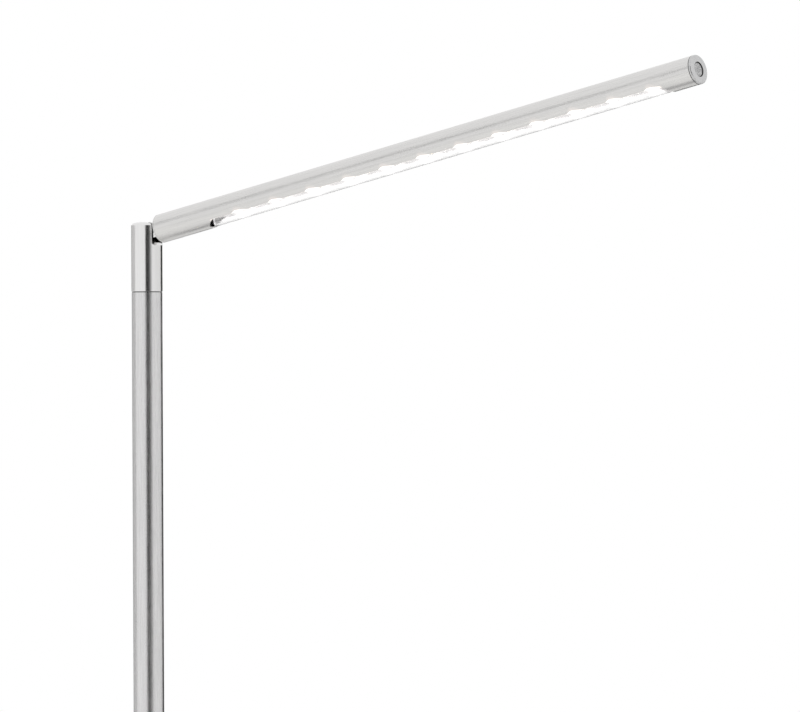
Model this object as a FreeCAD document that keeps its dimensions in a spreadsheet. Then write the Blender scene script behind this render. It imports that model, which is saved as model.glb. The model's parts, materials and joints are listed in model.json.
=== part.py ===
import FreeCAD, Part
import math
import os
import re

import Sketcher

# Office floor lamp: a weighted round base, a slim steel post, a swivel head and a tilting
# tube arm with twelve LEDs behind a long obround window.
# Millimetres, +Z up, origin at the middle of the base's underside, arm above +X.
# Arm pieces are drawn along +X from the hinge pin and then tilted up about it.

# Driving dimensions: alias, value.
SIZES = [
    # base
    ("base_radius", 125), ("base_top", 18), ("cover_wall", 1.5), ("cover_lift", 1.2),
    ("cover_round", 5), ("pad_radius", 121), ("pad_height", 2.5), ("plate_radius", 123),
    ("counterbore_radius", 11.5), ("counterbore_top", 11), ("bolt_hole_radius", 5.5),
    ("bolt_radius", 5), ("bolt_head_radius", 8), ("bolt_head_height", 6),
    ("bolt_length", 32), ("socket_flats", 6), ("socket_depth", 3.5),
    ("washer_radius", 10.5), ("washer_height", 1.5), ("plug_length", 32),
    # post
    ("post_radius", 12.5), ("post_wall", 1.5), ("inlet_height", 60), ("inlet_radius", 4),
    ("inlet_flange", 5.6), ("inlet_lip", 1.6), ("inlet_neck", 3), ("inlet_bead", 1),
    ("inlet_bevel", 0.6), ("inlet_clearance", 0.25),
    ("lead_radius", 2.25), ("lead_bend", 8.4), ("lead_end_gap", 1),
    # swivel between post and head
    ("seam_below_pin", 47.9), ("bearing_gap", 0.1), ("bush_flange", 0.6), ("bush_length", 16),
    ("bush_rim_radius", 12.1), ("journal_radius", 7.5), ("journal_gap", 0.05),
    ("journal_length", 16.7), ("thread_radius", 6), ("thread_length", 10), ("lead_bore", 3),
    ("spring_washer_height", 1.6), ("spring_washer_sheet", 0.8), ("spring_washer_land", 1),
    ("swivel_nut_height", 6), ("swivel_nut_flats", 17),
    # head
    ("head_radius", 12.7), ("crown_above_pin", 9.6), ("edge_above_pin", 7.7),
    ("shoulder_above_pin", 6.2), ("edge_radius", 11.5), ("slot_width", 14.4),
    ("slot_floor_below_pin", 8), ("slot_back", 7.3), ("floor_step", 2.2), ("floor_step_start", 9),
    ("floor_step_end", 11.7),
    ("pin_height", 1210), ("pin_radius", 2.5), ("pin_gap", 0.05), ("pin_blind_end", 10.4),
    ("pin_seat", 9.6), ("pin_head_radius", 4), ("pin_head_height", 1.9), ("friction_washer_height", 1),
    ("friction_washer_radius", 5.6),
    # arm
    ("arm_tilt", 12.7), ("arm_radius", 11.75), ("arm_wall", 1.2), ("arm_face", 14.5),
    ("arm_flange", 1.5), ("arm_flange_chamfer", 0.8), ("arm_plug_end", 38),
    ("tongue_width", 12.2), ("tongue_radius", 6.3), ("tongue_lead_start", 7.5),
    ("lead_mouth", 2.6),
    ("tube_end", 549.3), ("window_start", 66), ("window_end", 525.7), ("window_width", 19.9),
    ("grub_place", 26), ("grub_radius", 2), ("grub_recess", 0.4),
    # light engine
    ("led_first", 98.6), ("led_pitch", 37.3), ("led_count", 12), ("led_side", 3.6),
    ("led_height", 1), ("sink_start", 71), ("sink_end", 530), ("sink_flat", 1.5),
    ("sink_wall", 2.2), ("board_start", 76), ("board_end", 528), ("board_width", 17),
    ("board_height", 1.2), ("reflector_start", 71), ("reflector_end", 526),
    ("reflector_width", 18.4), ("reflector_bottom", 4.5), ("cup_mouth_radius", 8.2),
    ("cup_taper", 42), ("lens_radius", 11.1), ("lens_wall", 1.5), ("lens_gap", 0.2),
    ("lens_end_gap", 4), ("driver_start", 41), ("driver_end", 69), ("driver_width", 15),
    # push button and end cap
    ("cap_groove", 0.5), ("cap_groove_depth", 0.5), ("cap_rim", 2), ("cap_round", 1),
    ("cap_depth", 13), ("button_radius", 5.6), ("button_gap", 0.3), ("button_recess", 0.4),
    ("cap_face_wall", 1.8), ("button_flange_radius", 7), ("button_flange_height", 1),
    ("button_flange_gap", 0.15), ("cap_room_radius", 7.6), ("button_crown", 0.3),
    ("button_stem_radius", 2), ("button_travel", 0.8), ("button_stem_gap", 0.05),
    ("carrier_height", 1.6), ("switch_side", 6), ("switch_height", 3.2),
    # how far a cut runs on past the face that it leaves by
    ("overcut", 1),
]

ALIAS = re.compile(r"\b(%s)\b" % "|".join(name for name, value in SIZES))
ORIGIN = -1
H_AXIS = -1
V_AXIS = -2
HEX_SIDES = 6
NEAR = 0.01

doc = FreeCAD.newDocument("FloorLamp")
sheet = doc.addObject("Spreadsheet::Sheet", "Dims")
for row, (name, value) in enumerate(SIZES, start=1):
    sheet.set("A%d" % row, name)
    sheet.set("B%d" % row, str(value))
    sheet.setAlias("B%d" % row, name)
doc.recompute()


def bound(formula):
    """The formula with every alias pointed at the sheet."""
    return ALIAS.sub(r"Dims.\1", formula)


def size(formula):
    """The formula's present value in millimetres or degrees."""
    found = sheet.evalExpression(bound(formula))
    return float(getattr(found, "Value", found))


def new_body(label):
    body = doc.addObject("PartDesign::Body", label)
    body.Label = label
    return body


def sketch_on(body, role, offset="0", name="Sketch"):
    """A sketch on one of the body's own origin planes, moved along its normal by offset."""
    sketch = body.newObject("Sketcher::SketchObject", name)
    plane = [feature for feature in body.Origin.OriginFeatures if feature.Role == role][0]
    sketch.AttachmentSupport = [(plane, "")]
    sketch.MapMode = "FlatFace"
    if offset != "0":
        sketch.setExpression("AttachmentOffset.Base.z", bound(offset))
    return sketch


def fix_point(sketch, geometry, end, across, up):
    """Tie one point of the sketch to its place, given as two formulas."""
    for kind, formula, axis in (("DistanceX", across, V_AXIS), ("DistanceY", up, H_AXIS)):
        if formula == "0":
            sketch.addConstraint(Sketcher.Constraint("PointOnObject", geometry, end, axis))
        else:
            rule = Sketcher.Constraint(kind, ORIGIN, 1, geometry, end, size(formula))
            number = sketch.addConstraint(rule)
            sketch.setExpression("Constraints[%d]" % number, bound(formula))


def crown_arc(first, last, axis):
    """The short arc between first and last whose centre lies on the axis that last touches."""
    if axis == V_AXIS:
        rise = (last.y ** 2 - first.x ** 2 - first.y ** 2) / (2 * (last.y - first.y))
        centre = FreeCAD.Vector(0, rise, 0)
    else:
        run = (last.x ** 2 - first.x ** 2 - first.y ** 2) / (2 * (last.x - first.x))
        centre = FreeCAD.Vector(run, 0, 0)
    start = math.atan2(first.y - centre.y, first.x - centre.x)
    end = math.atan2(last.y - centre.y, last.x - centre.x)
    if (end - start) % (2 * math.pi) > math.pi:
        start, end = end, start
    ring = Part.Circle(centre, FreeCAD.Vector(0, 0, 1), (last - centre).Length)
    return Part.ArcOfCircle(ring, start, end)


def outline(sketch, corners):
    """A closed outline through corners; a third entry gives the axis that centres an arc to it."""
    places = [FreeCAD.Vector(size(corner[0]), size(corner[1]), 0) for corner in corners]
    ends = []
    for number, place in enumerate(places):
        following = (number + 1) % len(places)
        target = places[following]
        if len(corners[following]) > 2:
            geometry = sketch.addGeometry(crown_arc(place, target, corners[following][2]), False)
            forward = sketch.Geometry[geometry].StartPoint.distanceToPoint(place) < NEAR
            centred = Sketcher.Constraint("PointOnObject", geometry, 3, corners[following][2])
            sketch.addConstraint(centred)
            ends.append((geometry, 1 if forward else 2, 2 if forward else 1))
        else:
            geometry = sketch.addGeometry(Part.LineSegment(place, target), False)
            ends.append((geometry, 1, 2))
    for number, corner in enumerate(corners):
        geometry, start = ends[number][:2]
        before, last = ends[number - 1][::2]
        sketch.addConstraint(Sketcher.Constraint("Coincident", before, last, geometry, start))
        fix_point(sketch, geometry, start, corner[0], corner[1])


def circle(sketch, radius, across="0", up="0"):
    middle = FreeCAD.Vector(size(across), size(up), 0)
    ring = Part.Circle(middle, FreeCAD.Vector(0, 0, 1), size(radius))
    geometry = sketch.addGeometry(ring, False)
    fix_point(sketch, geometry, 3, across, up)
    number = sketch.addConstraint(Sketcher.Constraint("Radius", geometry, size(radius)))
    sketch.setExpression("Constraints[%d]" % number, bound(radius))


def obround(sketch, start, end, half_width):
    """A long hole with round ends, along the sketch's horizontal axis."""
    reach = size(half_width)
    left = FreeCAD.Vector(size(start) + reach, 0, 0)
    right = FreeCAD.Vector(size(end) - reach, 0, 0)
    up = FreeCAD.Vector(0, reach, 0)
    axis = FreeCAD.Vector(0, 0, 1)
    quarter = math.pi / 2
    far = sketch.addGeometry(Part.ArcOfCircle(Part.Circle(right, axis, reach), -quarter, quarter), False)
    top = sketch.addGeometry(Part.LineSegment(right + up, left + up), False)
    near = sketch.addGeometry(Part.ArcOfCircle(Part.Circle(left, axis, reach), quarter, 3 * quarter), False)
    low = sketch.addGeometry(Part.LineSegment(left - up, right - up), False)
    for first, second in ((far, top), (top, near), (near, low), (low, far)):
        sketch.addConstraint(Sketcher.Constraint("Tangent", first, 2, second, 1))
    fix_point(sketch, near, 3, "%s + %s" % (start, half_width), "0")
    fix_point(sketch, far, 3, "%s - %s" % (end, half_width), "0")
    number = sketch.addConstraint(Sketcher.Constraint("Radius", near, reach))
    sketch.setExpression("Constraints[%d]" % number, bound(half_width))


def segment(sketch, radius, chord):
    """The part of a disc above a level chord."""
    reach = size(radius)
    level = size(chord)
    half = math.sqrt(reach ** 2 - level ** 2)
    middle = FreeCAD.Vector(0, 0, 0)
    start = math.atan2(level, half)
    ring = Part.Circle(middle, FreeCAD.Vector(0, 0, 1), reach)
    arc = sketch.addGeometry(Part.ArcOfCircle(ring, start, math.pi - start), False)
    line = Part.LineSegment(FreeCAD.Vector(-half, level, 0), FreeCAD.Vector(half, level, 0))
    base = sketch.addGeometry(line, False)
    sketch.addConstraint(Sketcher.Constraint("Coincident", arc, 3, ORIGIN, 1))
    sketch.addConstraint(Sketcher.Constraint("Coincident", arc, 2, base, 1))
    sketch.addConstraint(Sketcher.Constraint("Coincident", base, 2, arc, 1))
    sketch.addConstraint(Sketcher.Constraint("Horizontal", base))
    for kind, items, formula in (("Radius", (arc,), radius), ("DistanceY", (ORIGIN, 1, base, 1), chord)):
        number = sketch.addConstraint(Sketcher.Constraint(kind, *items, size(formula)))
        sketch.setExpression("Constraints[%d]" % number, bound(formula))


def pad(body, sketch, length, reverse=False, midplane=False):
    feature = body.newObject("PartDesign::Pad", "Pad")
    feature.Profile = sketch
    feature.setExpression("Length", bound(length))
    feature.Reversed = reverse
    feature.Midplane = midplane
    doc.recompute()
    return feature


def pocket(body, sketch, length, reverse=False, midplane=False, taper="0"):
    """A cut that must take something away."""
    before = body.Shape.Volume
    feature = body.newObject("PartDesign::Pocket", "Pocket")
    feature.Profile = sketch
    feature.setExpression("Length", bound(length))
    feature.Reversed = reverse
    feature.Midplane = midplane
    if taper != "0":
        feature.setExpression("TaperAngle", bound(taper))
    doc.recompute()
    if not 0 < body.Shape.Volume < before - NEAR:
        raise ValueError("a pocket in %s cuts nothing, or all" % body.Label)
    return feature


def revolve(body, sketch, axis):
    feature = body.newObject("PartDesign::Revolution", "Revolution")
    feature.Profile = sketch
    feature.ReferenceAxis = (sketch, ["V_Axis" if axis == V_AXIS else "H_Axis"])
    feature.Angle = 360
    doc.recompute()
    return feature


def turned(label, corners, axis=V_AXIS):
    """A turned piece: its half outline, turned about the vertical or the arm's axis."""
    body = new_body(label)
    sketch = sketch_on(body, "XZ_Plane")
    outline(sketch, corners)
    revolve(body, sketch, axis)
    return body


def dress(body, kind, edges, amount):
    """A fillet or chamfer on the named edges of the body's last feature."""
    feature = body.newObject("PartDesign::" + kind, kind)
    feature.Base = (body.Tip if body.Tip is not feature else feature.BaseFeature, edges)
    feature.setExpression("Radius" if kind == "Fillet" else "Size", bound(amount))
    doc.recompute()
    return feature


def edges_where(body, test):
    """Names of the edges of the body's present shape that pass the test."""
    edges = enumerate(body.Tip.Shape.Edges, start=1)
    return ["Edge%d" % number for number, edge in edges if test(edge)]


def rim_at(height, reach):
    """A test for the level round edge at a height, with a radius of reach."""
    def test(edge):
        box = edge.BoundBox
        level = abs(box.ZMin - height) < NEAR and abs(box.ZMax - height) < NEAR
        return level and abs(box.XMax - reach) < NEAR
    return test


def hexagon(sketch, flats):
    """A regular hexagon about the sketch's middle, two flats level."""
    reach = size(flats) / 2 / math.cos(math.pi / HEX_SIDES)
    points = []
    for number in range(HEX_SIDES):
        angle = number * 2 * math.pi / HEX_SIDES
        points.append(FreeCAD.Vector(reach * math.cos(angle), reach * math.sin(angle), 0))
    sides = []
    for number in range(HEX_SIDES):
        side = Part.LineSegment(points[number], points[(number + 1) % HEX_SIDES])
        sides.append(sketch.addGeometry(side, False))
    ring = Part.Circle(FreeCAD.Vector(0, 0, 0), FreeCAD.Vector(0, 0, 1), size(flats) / 2)
    inner = sketch.addGeometry(ring, True)
    sketch.addConstraint(Sketcher.Constraint("Coincident", inner, 3, ORIGIN, 1))
    for number, side in enumerate(sides):
        following = sides[(number + 1) % HEX_SIDES]
        sketch.addConstraint(Sketcher.Constraint("Coincident", side, 2, following, 1))
        sketch.addConstraint(Sketcher.Constraint("Tangent", side, inner))
    for number in range(1, HEX_SIDES - 1):
        sketch.addConstraint(Sketcher.Constraint("Equal", sides[0], sides[number]))
    sketch.addConstraint(Sketcher.Constraint("Horizontal", sides[1]))
    number = sketch.addConstraint(Sketcher.Constraint("Radius", inner, size(flats) / 2))
    sketch.setExpression("Constraints[%d]" % number, bound("%s / 2" % flats))


def on_arm(piece):
    """Tilt a piece that is drawn along +X up about the hinge pin."""
    lift = FreeCAD.Vector(0, 0, size("pin_height"))
    tilt = FreeCAD.Rotation(FreeCAD.Vector(0, -1, 0), size("arm_tilt"))
    piece.Placement = FreeCAD.Placement(lift, tilt)
    piece.setExpression("Placement.Base.z", bound("pin_height"))
    piece.setExpression("Placement.Rotation.Angle", bound("arm_tilt"))
    return piece


def base_pad():
    return turned("base_pad", [("0", "0"), ("pad_radius", "0"), ("pad_radius", "pad_height"),
                               ("0", "pad_height")])


def base_plate():
    """The cast weight, with a stepped hole for the post's bolt."""
    body = turned("base_plate", [
        ("counterbore_radius", "pad_height"), ("plate_radius", "pad_height"),
        ("plate_radius", "base_top - cover_wall"), ("bolt_hole_radius", "base_top - cover_wall"),
        ("bolt_hole_radius", "counterbore_top"), ("counterbore_radius", "counterbore_top")])
    edges = edges_where(body, rim_at(size("base_top - cover_wall"), size("plate_radius")))
    dress(body, "Fillet", edges, "cover_round - cover_wall")
    return body


def base_cover():
    """The thin spun shell over the weight."""
    body = turned("base_cover", [
        ("bolt_hole_radius", "base_top - cover_wall"),
        ("base_radius - cover_wall", "base_top - cover_wall"),
        ("base_radius - cover_wall", "cover_lift"), ("base_radius", "cover_lift"),
        ("base_radius", "base_top"), ("bolt_hole_radius", "base_top")])
    for level, radius, amount in (("base_top", "base_radius", "cover_round"),
                                  ("base_top - cover_wall", "base_radius - cover_wall",
                                   "cover_round - cover_wall")):
        edges = edges_where(body, rim_at(size(level), size(radius)))
        dress(body, "Fillet", edges, amount)
    return body


def base_washer():
    under = "counterbore_top - washer_height"
    return turned("base_washer", [
        ("bolt_radius", under), ("washer_radius", under), ("washer_radius", "counterbore_top"),
        ("bolt_radius", "counterbore_top")])


def base_bolt():
    """The bolt that draws the post down, with a hexagon socket in its head."""
    under = "counterbore_top - washer_height"
    body = turned("base_bolt", [
        ("0", under + " - bolt_head_height"), ("bolt_head_radius", under + " - bolt_head_height"),
        ("bolt_head_radius", under), ("bolt_radius", under), ("bolt_radius", under + " + bolt_length"),
        ("0", under + " + bolt_length")])
    sketch = sketch_on(body, "XY_Plane", under + " - bolt_head_height", "Socket")
    hexagon(sketch, "socket_flats")
    pocket(body, sketch, "socket_depth", reverse=True)
    return body


def foot_plug():
    """The steel plug in the post's foot, tapped for the bolt."""
    top = "counterbore_top - washer_height + bolt_length"
    return turned("foot_plug", [
        ("bolt_radius", "base_top"), ("post_radius - post_wall", "base_top"),
        ("post_radius - post_wall", "base_top + plug_length"), ("0", "base_top + plug_length"),
        ("0", top), ("bolt_radius", top)])


def post_tube():
    """The post, with a round hole at the back of its foot for the cord's inlet."""
    body = new_body("post_tube")
    ring = sketch_on(body, "XY_Plane", "base_top", "Ring")
    circle(ring, "post_radius")
    circle(ring, "post_radius - post_wall")
    pad(body, ring, "pin_height - seam_below_pin - bearing_gap - bush_flange - base_top")
    hole = sketch_on(body, "YZ_Plane", name="InletHole")
    circle(hole, "inlet_radius", "0", "inlet_height")
    pocket(body, hole, "post_radius + overcut")
    return body


def cable_inlet():
    """A rubber grommet in the post's back wall; its bore is where the cord goes in."""
    lip = "-post_radius - inlet_lip"
    outside = "-post_radius"
    inside = "-post_radius + inlet_neck"
    bore = "lead_radius + inlet_clearance"
    body = turned("cable_inlet", [
        (lip, bore), (lip, "inlet_flange - inlet_bevel"), (outside, "inlet_flange"),
        (outside, "inlet_radius"), (inside, "inlet_radius"), (inside, "inlet_radius + inlet_bead"),
        (inside + " + inlet_bead", "inlet_radius + inlet_bevel"), (inside + " + inlet_bead", bore)], H_AXIS)
    body.Placement = FreeCAD.Placement(FreeCAD.Vector(0, 0, size("inlet_height")), FreeCAD.Rotation())
    body.setExpression("Placement.Base.z", bound("inlet_height"))
    return body


def post_lead():
    """The inner lead, from the inlet round one bend and up the post to the swivel."""
    body = new_body("post_lead")
    spine = sketch_on(body, "XZ_Plane", name="Route")
    bend = size("lead_bend")
    low = size("inlet_height")
    top = "pin_height - seam_below_pin - journal_length - thread_length - lead_end_gap"
    ring = Part.Circle(FreeCAD.Vector(-bend, low + bend, 0), FreeCAD.Vector(0, 0, 1), bend)
    arc = spine.addGeometry(Part.ArcOfCircle(ring, -math.pi / 2, 0), False)
    run = Part.LineSegment(FreeCAD.Vector(0, low + bend, 0), FreeCAD.Vector(0, size(top), 0))
    line = spine.addGeometry(run, False)
    spine.addConstraint(Sketcher.Constraint("Tangent", arc, 2, line, 1))
    fix_point(spine, arc, 3, "-lead_bend", "inlet_height + lead_bend")
    fix_point(spine, arc, 1, "-lead_bend", "inlet_height")
    fix_point(spine, line, 2, "0", top)
    section = sketch_on(body, "YZ_Plane", "-lead_bend", "Section")
    circle(section, "lead_radius", "0", "inlet_height")
    doc.recompute()
    pipe = body.newObject("PartDesign::AdditivePipe", "Pipe")
    pipe.Profile = section
    pipe.Spine = spine
    doc.recompute()
    return body


def swivel_bush():
    """The plain bearing pressed into the post's top; its thin rim shows as the seam."""
    top = "pin_height - seam_below_pin - bearing_gap"
    return turned("swivel_bush", [
        ("journal_radius + journal_gap", top), ("bush_rim_radius", top),
        ("bush_rim_radius", top + " - bush_flange"), ("post_radius - post_wall", top + " - bush_flange"),
        ("post_radius - post_wall", top + " - bush_flange - bush_length"),
        ("journal_radius + journal_gap", top + " - bush_flange - bush_length")])


def swivel_head():
    """The turned head: a crowned collar with a clevis slot for the arm's tongue, and below it
    the journal that turns in the post, bored for the lead."""
    seam = "pin_height - seam_below_pin"
    body = turned("swivel_head", [
        ("0", seam + " - journal_length - thread_length"),
        ("thread_radius", seam + " - journal_length - thread_length"),
        ("thread_radius", seam + " - journal_length"), ("journal_radius", seam + " - journal_length"),
        ("journal_radius", seam), ("head_radius", seam),
        ("head_radius", "pin_height + shoulder_above_pin"),
        ("edge_radius", "pin_height + edge_above_pin"), ("0", "pin_height + crown_above_pin", V_AXIS)])
    slot = sketch_on(body, "XY_Plane", "pin_height - slot_floor_below_pin", "Slot")
    outline(slot, [("-slot_back", "-slot_width / 2"), ("head_radius + overcut", "-slot_width / 2"),
                   ("head_radius + overcut", "slot_width / 2"), ("-slot_back", "slot_width / 2")])
    pocket(body, slot, "slot_floor_below_pin + crown_above_pin + overcut", reverse=True)
    # the slot's floor falls away at the front, which lets the arm dip below level
    step = sketch_on(body, "XZ_Plane", name="FloorStep")
    floor = "pin_height - slot_floor_below_pin"
    outline(step, [("floor_step_start", floor), ("head_radius + overcut", floor),
                   ("head_radius + overcut", floor + " - floor_step"),
                   ("floor_step_end", floor + " - floor_step")])
    pocket(body, step, "slot_width", midplane=True)
    bore = sketch_on(body, "XY_Plane", seam + " - journal_length - thread_length", "LeadBore")
    circle(bore, "lead_bore")
    pocket(body, bore, "seam_below_pin + journal_length + thread_length", reverse=True)
    # the pin goes in from the back cheek and ends blind in the front one
    hole = sketch_on(body, "XZ_Plane", "pin_blind_end", "PinHole")
    circle(hole, "pin_radius", "0", "pin_height")
    pocket(body, hole, "pin_blind_end + head_radius + overcut")
    seat = sketch_on(body, "XZ_Plane", "-pin_seat", "PinHeadSeat")
    circle(seat, "pin_head_radius", "0", "pin_height")
    pocket(body, seat, "head_radius")
    return body


def hinge_pin():
    """A headed pin, let in flush at the back cheek."""
    face = "pin_seat + pin_head_height"
    body = turned("hinge_pin", [
        ("0", "-pin_blind_end"), ("pin_radius", "-pin_blind_end"), ("pin_radius", "pin_seat"),
        ("pin_head_radius", "pin_seat"), ("pin_head_radius", face), ("0", face)])
    turn = FreeCAD.Rotation(FreeCAD.Vector(1, 0, 0), -90)
    body.Placement = FreeCAD.Placement(FreeCAD.Vector(0, 0, size("pin_height")), turn)
    body.setExpression("Placement.Base.z", bound("pin_height"))
    return body


def friction_washers():
    """Two washers between the tongue and the cheeks."""
    pieces = []
    for side in (-1, 1):
        ring = doc.addObject("Part::Cylinder", "WasherDisc")
        ring.setExpression("Radius", bound("friction_washer_radius"))
        ring.setExpression("Height", bound("friction_washer_height"))
        hole = doc.addObject("Part::Cylinder", "WasherHole")
        hole.setExpression("Radius", bound("pin_radius"))
        hole.setExpression("Height", bound("friction_washer_height"))
        washer = doc.addObject("Part::Cut", "Washer")
        washer.Base = ring
        washer.Tool = hole
        turn = FreeCAD.Rotation(FreeCAD.Vector(1, 0, 0), -90)
        washer.Placement = FreeCAD.Placement(FreeCAD.Vector(0, 0, size("pin_height")), turn)
        start = "slot_width / 2 - friction_washer_height" if side > 0 else "-slot_width / 2"
        washer.setExpression("Placement.Base.y", bound(start))
        washer.setExpression("Placement.Base.z", bound("pin_height"))
        pieces.append(washer)
    group = doc.addObject("Part::Compound", "friction_washers")
    group.Label = "friction_washers"
    group.Links = pieces
    doc.recompute()
    return group


def spring_washer():
    """The coned spring washer that loads the swivel."""
    top = "pin_height - seam_below_pin - 2 * bearing_gap - bush_flange - bush_length"
    return turned("spring_washer", [
        ("thread_radius", top + " - spring_washer_height"),
        ("thread_radius + spring_washer_land", top + " - spring_washer_height"),
        ("journal_radius + 2 * spring_washer_land", top + " - spring_washer_sheet"),
        ("journal_radius + 2 * spring_washer_land", top), ("journal_radius + spring_washer_land", top),
        ("thread_radius", top + " - spring_washer_height + spring_washer_sheet")])


def swivel_nut():
    top = ("pin_height - seam_below_pin - 2 * bearing_gap - bush_flange - bush_length"
           " - spring_washer_height")
    body = new_body("swivel_nut")
    sketch = sketch_on(body, "XY_Plane", top, "Hexagon")
    hexagon(sketch, "swivel_nut_flats")
    circle(sketch, "thread_radius")
    pad(body, sketch, "swivel_nut_height", reverse=True)
    return body


def head_lead():
    """The lead's stretch inside the head, up to the slot."""
    lead = doc.addObject("Part::Cylinder", "head_lead")
    lead.Label = "head_lead"
    lead.setExpression("Radius", bound("lead_radius"))
    below = "seam_below_pin + journal_length + thread_length"
    lead.setExpression("Height", bound(below + " - slot_floor_below_pin"))
    lead.setExpression("Placement.Base.z", bound("pin_height - (%s)" % below))
    return lead


def arm_knuckle():
    """The arm's end piece: a plug and flange in the tube, and the tongue on the pin."""
    body = new_body("arm_knuckle")
    profile = sketch_on(body, "XY_Plane", name="Plug")
    outline(profile, [
        ("arm_face", "0"), ("arm_face", "arm_radius - arm_flange_chamfer"),
        ("arm_face + arm_flange_chamfer", "arm_radius"), ("arm_face + arm_flange", "arm_radius"),
        ("arm_face + arm_flange", "arm_radius - arm_wall"), ("arm_plug_end", "arm_radius - arm_wall"),
        ("arm_plug_end", "0")])
    revolve(body, profile, H_AXIS)
    web = sketch_on(body, "XZ_Plane", name="Web")
    outline(web, [("0", "-tongue_radius"), ("arm_face + arm_flange", "-tongue_radius"),
                  ("arm_face + arm_flange", "tongue_radius"), ("0", "tongue_radius")])
    pad(body, web, "tongue_width", midplane=True)
    eye = sketch_on(body, "XZ_Plane", name="Eye")
    circle(eye, "tongue_radius")
    pad(body, eye, "tongue_width", midplane=True)
    pin_bore = sketch_on(body, "XZ_Plane", name="PinBore")
    circle(pin_bore, "pin_radius + pin_gap")
    pocket(body, pin_bore, "tongue_width + overcut", midplane=True)
    # the lead comes in at the tongue's underside and runs on along the axis
    lead_bore = sketch_on(body, "YZ_Plane", "tongue_lead_start", "LeadBore")
    circle(lead_bore, "lead_bore")
    pocket(body, lead_bore, "arm_plug_end", reverse=True)
    mouth = sketch_on(body, "XY_Plane", name="LeadMouth")
    circle(mouth, "lead_mouth", "tongue_lead_start + lead_bore", "0")
    pocket(body, mouth, "tongue_radius + overcut")
    grub = sketch_on(body, "XY_Plane", "lead_bore / 2", "GrubHole")
    circle(grub, "grub_radius", "grub_place", "0")
    pocket(body, grub, "arm_radius", reverse=True)
    return on_arm(body)


def arm_tube():
    """The arm's tube, with the long obround window milled into its underside."""
    body = new_body("arm_tube")
    ring = sketch_on(body, "YZ_Plane", "arm_face + arm_flange", "Ring")
    circle(ring, "arm_radius")
    circle(ring, "arm_radius - arm_wall")
    pad(body, ring, "tube_end - arm_face - arm_flange")
    window = sketch_on(body, "XY_Plane", name="Window")
    obround(window, "window_start", "window_end", "window_width / 2")
    pocket(body, window, "arm_radius + overcut")
    grub = sketch_on(body, "XY_Plane", name="GrubHole")
    circle(grub, "grub_radius", "grub_place", "0")
    pocket(body, grub, "arm_radius + overcut", reverse=True)
    return on_arm(body)


def tube_grub_screw():
    """The grub screw that holds the tube on its plug, flush in the top of the tube."""
    body = new_body("tube_grub_screw")
    shank = sketch_on(body, "XY_Plane", "lead_bore", "Shank")
    circle(shank, "grub_radius", "grub_place", "0")
    pad(body, shank, "arm_radius - lead_bore - grub_recess")
    return on_arm(body)


def heat_sink():
    """An extruded D-shaped bar under the tube's roof, hollow for the wires."""
    body = new_body("heat_sink")
    outer = sketch_on(body, "YZ_Plane", "sink_start", "Outer")
    segment(outer, "arm_radius - arm_wall", "sink_flat")
    pad(body, outer, "sink_end - sink_start")
    inner = sketch_on(body, "YZ_Plane", "sink_start", "Inner")
    segment(inner, "arm_radius - arm_wall - sink_wall", "sink_flat + sink_wall")
    pocket(body, inner, "sink_end - sink_start", reverse=True)
    return on_arm(body)


def strip(label, start, end, width, low, high):
    """A flat strip across the arm's middle plane."""
    body = new_body(label)
    section = sketch_on(body, "YZ_Plane", start, "Section")
    outline(section, [("-%s / 2" % width, low), ("%s / 2" % width, low), ("%s / 2" % width, high),
                      ("-%s / 2" % width, high)])
    pad(body, section, "%s - %s" % (end, start))
    return body


def led_board():
    return on_arm(strip("led_board", "board_start", "board_end", "board_width",
                        "sink_flat - board_height", "sink_flat"))


def leds():
    """Twelve square LEDs on the board's underside, at an even pitch."""
    chips = []
    for number in range(int(size("led_count"))):
        chip = doc.addObject("Part::Box", "Led")
        for side, formula in (("Length", "led_side"), ("Width", "led_side"), ("Height", "led_height")):
            chip.setExpression(side, bound(formula))
        for axis, formula in (("x", "led_first + %d * led_pitch - led_side / 2" % number),
                              ("y", "-led_side / 2"), ("z", "sink_flat - board_height - led_height")):
            chip.setExpression("Placement.Base." + axis, bound(formula))
        chips.append(chip)
    group = doc.addObject("Part::Compound", "leds")
    group.Label = "leds"
    group.Links = chips
    doc.recompute()
    return on_arm(group)


def reflector():
    """A moulded strip with one cone-shaped cup round each LED."""
    body = strip("reflector", "reflector_start", "reflector_end", "reflector_width",
                 "-reflector_bottom", "sink_flat - board_height")
    mouth = sketch_on(body, "XY_Plane", "-reflector_bottom", "Cup")
    circle(mouth, "cup_mouth_radius", "led_first", "0")
    cup = pocket(body, mouth, "reflector_bottom + sink_flat - board_height", reverse=True,
                 taper="-cup_taper")
    row = body.newObject("PartDesign::LinearPattern", "CupRow")
    row.Originals = [cup]
    row.Direction = (mouth, ["H_Axis"])
    row.setExpression("Length", bound("led_pitch * (led_count - 1)"))
    row.Occurrences = int(size("led_count"))
    body.Tip = row
    doc.recompute()
    return on_arm(body)


def lens():
    """The clear window bar: an obround slice of a tube, just inside the arm's outline."""
    body = new_body("lens")
    plan = sketch_on(body, "XY_Plane", "-reflector_bottom", "Plan")
    obround(plan, "window_start + lens_end_gap", "window_end - lens_end_gap",
            "(window_width / 2 - lens_gap)")
    pad(body, plan, "arm_radius", reverse=True)
    rim = sketch_on(body, "YZ_Plane", name="Outside")
    circle(rim, "lens_radius")
    circle(rim, "lens_radius + arm_radius")
    pocket(body, rim, "window_end", reverse=True)
    hollow = sketch_on(body, "YZ_Plane", "window_start + lens_end_gap + lens_wall", "Inside")
    circle(hollow, "lens_radius - lens_wall")
    pocket(body, hollow, "window_end - window_start - 2 * lens_end_gap - 2 * lens_wall", reverse=True)
    return on_arm(body)


def driver_board():
    """The small driver board between the plug and the heat sink."""
    return on_arm(strip("driver_board", "driver_start", "driver_end", "driver_width",
                        "-board_height", "0"))


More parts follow.
